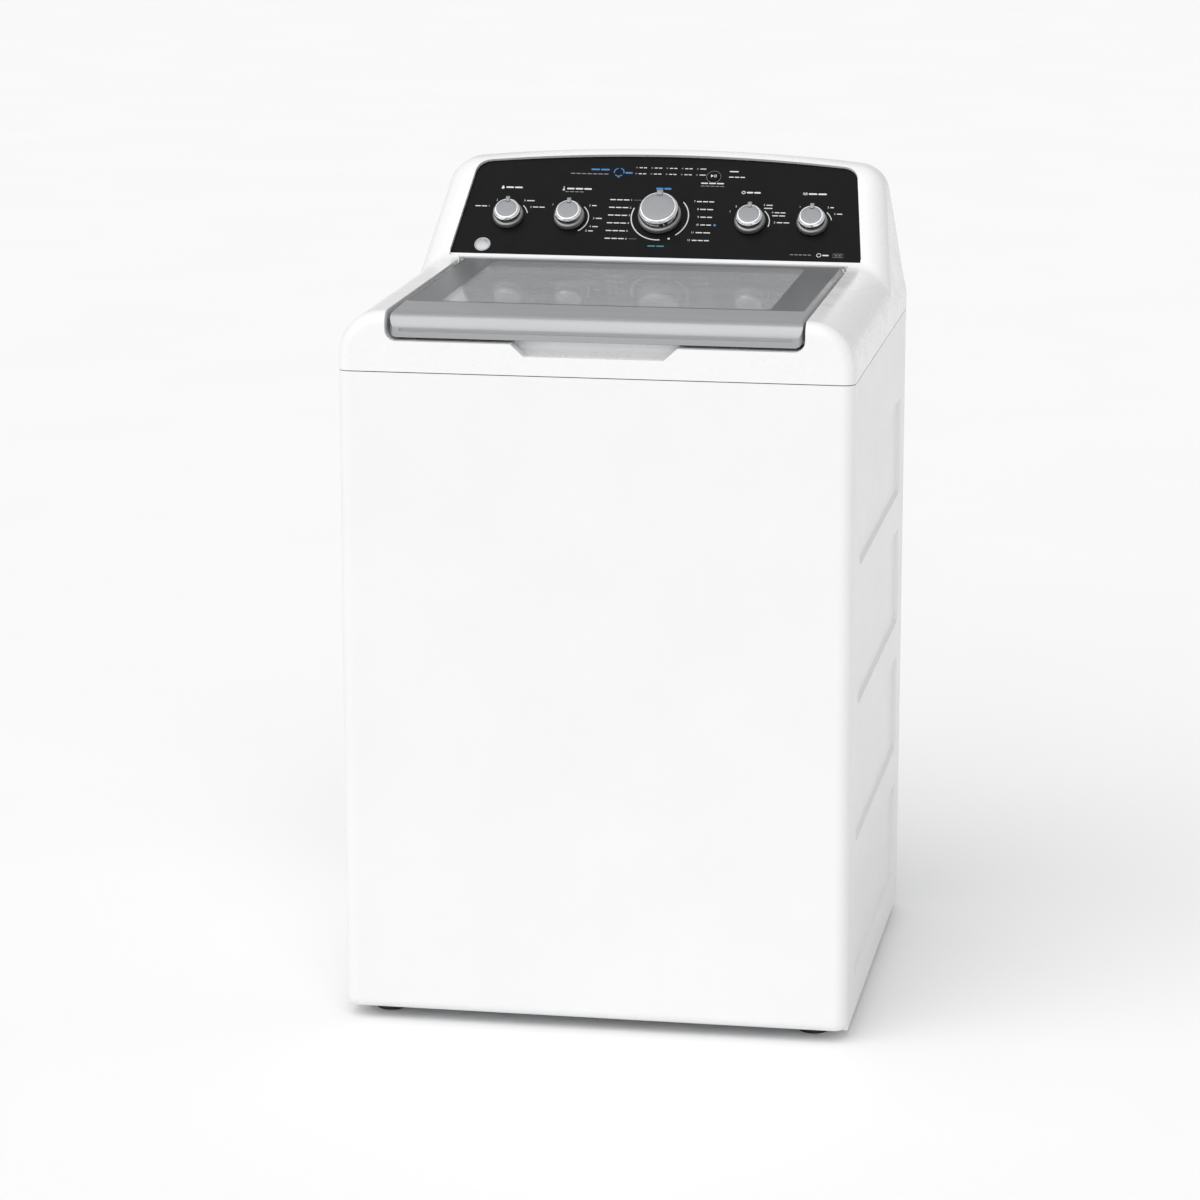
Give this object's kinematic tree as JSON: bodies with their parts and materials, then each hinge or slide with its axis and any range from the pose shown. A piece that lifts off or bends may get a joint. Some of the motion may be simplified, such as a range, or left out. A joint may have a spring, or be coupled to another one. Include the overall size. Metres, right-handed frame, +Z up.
{
  "type": "top load washing machine",
  "caption": "Top load washing machine with a hinged glass-window lid, sloping knob console, suspended tub, perforated basket, agitator and belt drive.",
  "frame": {"origin": "on the floor under the middle of the footprint", "axes": "+X to the machine's right as seen from the front, the front faces -Y, +Z up"},
  "size_m": [0.686, 0.65, 1.118],
  "materials": {
    "white_paint": "satin",
    "galvanised_steel": "satin",
    "zinc_steel": "satin",
    "white_cover": "gloss",
    "nylon": "satin",
    "black_plastic": "matte",
    "black_fascia": "satin",
    "board_green": "satin",
    "lens": "gloss",
    "white_plastic": "satin",
    "hose_grey": "matte",
    "spring_steel": "satin",
    "silver_frame": "satin",
    "window_glass": "polished",
    "grey_plastic": "satin",
    "rubber": "matte",
    "knob_silver": "satin",
    "tub_plastic": "satin",
    "cast_alloy": "matte",
    "motor_case": "satin",
    "stainless": "satin",
    "agitator_plastic": "satin"
  },
  "bodies": {
    "cabinet": {"left_side_panel": "white_paint", "right_side_panel": "white_paint", "front_panel": "white_paint", "rear_panel": "galvanised_steel", "base_frame": "galvanised_steel", "corner_braces": "galvanised_steel", "leg_locknuts": "zinc_steel", "top_cover": "white_cover", "hinge_bushings": "nylon", "lid_lock_housing": "black_plastic", "console_rear_cover": "white_paint", "fascia_panel": "black_fascia", "control_board": "board_green", "indicator_lenses": "lens", "selector_switches": "black_plastic", "water_inlet_valve": "white_plastic", "fill_hose": "hose_grey", "inlet_spout": "white_plastic", "suspension_rods": "zinc_steel", "suspension_springs": "spring_steel", "drain_outlet": "black_plastic", "drain_hose": "hose_grey", "panel_screws": "zinc_steel", "cord_gland": "black_plastic"},
    "lid": {"lid_frame": "silver_frame", "lid_glass": "window_glass", "lid_liner": "grey_plastic", "lid_hinge_pins": "zinc_steel", "lid_bumpers": "rubber", "lid_strike": "black_plastic"},
    "lock_bolt": {"lid_lock_bolt": "zinc_steel"},
    "soil_dial": {"soil_knob": "knob_silver"},
    "temperature_dial": {"temperature_knob": "knob_silver"},
    "cycle_dial": {"cycle_knob": "knob_silver"},
    "options_dial": {"options_knob": "knob_silver"},
    "soak_dial": {"soak_knob": "knob_silver"},
    "start_key": {"start_button": "black_fascia"},
    "foot_front_left": {"leveling_foot_front_left": "rubber"},
    "foot_front_right": {"leveling_foot_front_right": "rubber"},
    "foot_rear_left": {"leveling_foot_rear_left": "rubber"},
    "foot_rear_right": {"leveling_foot_rear_right": "rubber"},
    "tub": {"outer_tub": "tub_plastic", "tub_ring": "tub_plastic", "tub_support": "galvanised_steel", "gearcase": "cast_alloy", "tub_bearings": "zinc_steel", "drive_motor": "motor_case", "drive_belt": "rubber", "drain_pump": "white_plastic"},
    "basket": {"basket": "stainless", "basket_hub": "cast_alloy", "balance_ring": "white_plastic", "spin_tube": "zinc_steel", "drive_pulley": "cast_alloy"},
    "agitator": {"agitator_base": "agitator_plastic", "agitator_shaft": "zinc_steel"},
    "auger": {"agitator_auger": "agitator_plastic"},
    "softener": {"softener_cup": "agitator_plastic"},
    "motor_rotor": {"motor_pulley": "cast_alloy"},
    "pump_rotor": {"pump_impeller": "white_plastic"}
  },
  "joints": [
    {"name": "lid_hinge", "type": "hinge", "parent": "cabinet", "child": "lid", "pos_m": [0, 0.154, 0.968], "axis": [-1, 0, 0], "range_deg": [0, 100]},
    {"name": "lock_slide", "type": "slide", "parent": "cabinet", "child": "lock_bolt", "axis": [-1, 0, 0], "range_m": [0, 0.01]},
    {"name": "soil_turn", "type": "hinge", "parent": "cabinet", "child": "soil_dial", "pos_m": [-0.2184, 0.21802, 1.02902], "axis": [0, 0.7071, -0.7071], "range_deg": [-90, 90]},
    {"name": "temperature_turn", "type": "hinge", "parent": "cabinet", "child": "temperature_dial", "pos_m": [-0.1298, 0.21802, 1.02902], "axis": [0, 0.7071, -0.7071], "range_deg": [-60, 150]},
    {"name": "options_turn", "type": "hinge", "parent": "cabinet", "child": "options_dial", "pos_m": [0.1298, 0.21802, 1.02902], "axis": [0, 0.7071, -0.7071], "range_deg": [-75, 100]},
    {"name": "soak_turn", "type": "hinge", "parent": "cabinet", "child": "soak_dial", "pos_m": [0.2184, 0.21802, 1.02902], "axis": [0, 0.7071, -0.7071], "range_deg": [-75, 75]},
    {"name": "cycle_turn", "type": "hinge", "parent": "cabinet", "child": "cycle_dial", "pos_m": [0, 0.22191, 1.03291], "axis": [0, 0.7071, -0.7071], "continuous": true},
    {"name": "start_press", "type": "slide", "parent": "cabinet", "child": "start_key", "axis": [0, 0.7071, -0.7071], "range_m": [0, 0.002], "stiffness_N_per_m": 200, "springref_m": -0.001},
    {"name": "foot_front_left_screw", "type": "slide", "parent": "cabinet", "child": "foot_front_left", "axis": [0, 0, -1], "range_m": [0, 0.015]},
    {"name": "foot_front_right_screw", "type": "slide", "parent": "cabinet", "child": "foot_front_right", "axis": [0, 0, -1], "range_m": [0, 0.015]},
    {"name": "foot_rear_left_screw", "type": "slide", "parent": "cabinet", "child": "foot_rear_left", "axis": [0, 0, -1], "range_m": [0, 0.015]},
    {"name": "foot_rear_right_screw", "type": "slide", "parent": "cabinet", "child": "foot_rear_right", "axis": [0, 0, -1], "range_m": [0, 0.015]},
    {"name": "tub_bounce", "type": "slide", "parent": "cabinet", "child": "tub", "axis": [0, 0, 1], "range_m": [-0.025, 0.01], "stiffness_N_per_m": 12000, "springref_m": 0.02457, "deforming": ["suspension_springs", "drain_hose"]},
    {"name": "basket_spin", "type": "hinge", "parent": "tub", "child": "basket", "pos_m": [0, -0.012, 0.3], "axis": [0, 0, 1], "continuous": true},
    {"name": "agitator_turn", "type": "hinge", "parent": "basket", "child": "agitator", "pos_m": [0, -0.012, 0.4], "axis": [0, 0, 1], "continuous": true},
    {"name": "auger_turn", "type": "hinge", "parent": "agitator", "child": "auger", "pos_m": [0, -0.012, 0.65], "axis": [0, 0, 1], "continuous": true},
    {"name": "softener_lift", "type": "slide", "parent": "auger", "child": "softener", "axis": [0, 0, 1], "range_m": [0, 0.06]},
    {"name": "motor_spin", "type": "hinge", "parent": "tub", "child": "motor_rotor", "pos_m": [0.15, 0.088, 0.14], "axis": [0, 0, 1], "continuous": true},
    {"name": "impeller_spin", "type": "hinge", "parent": "tub", "child": "pump_rotor", "pos_m": [-0.17, -0.012, 0.25], "axis": [0, 0, 1], "continuous": true}
  ],
  "couplings": [
    {"joint": "motor_spin", "follows": "basket_spin", "ratio": 5}
  ]
}
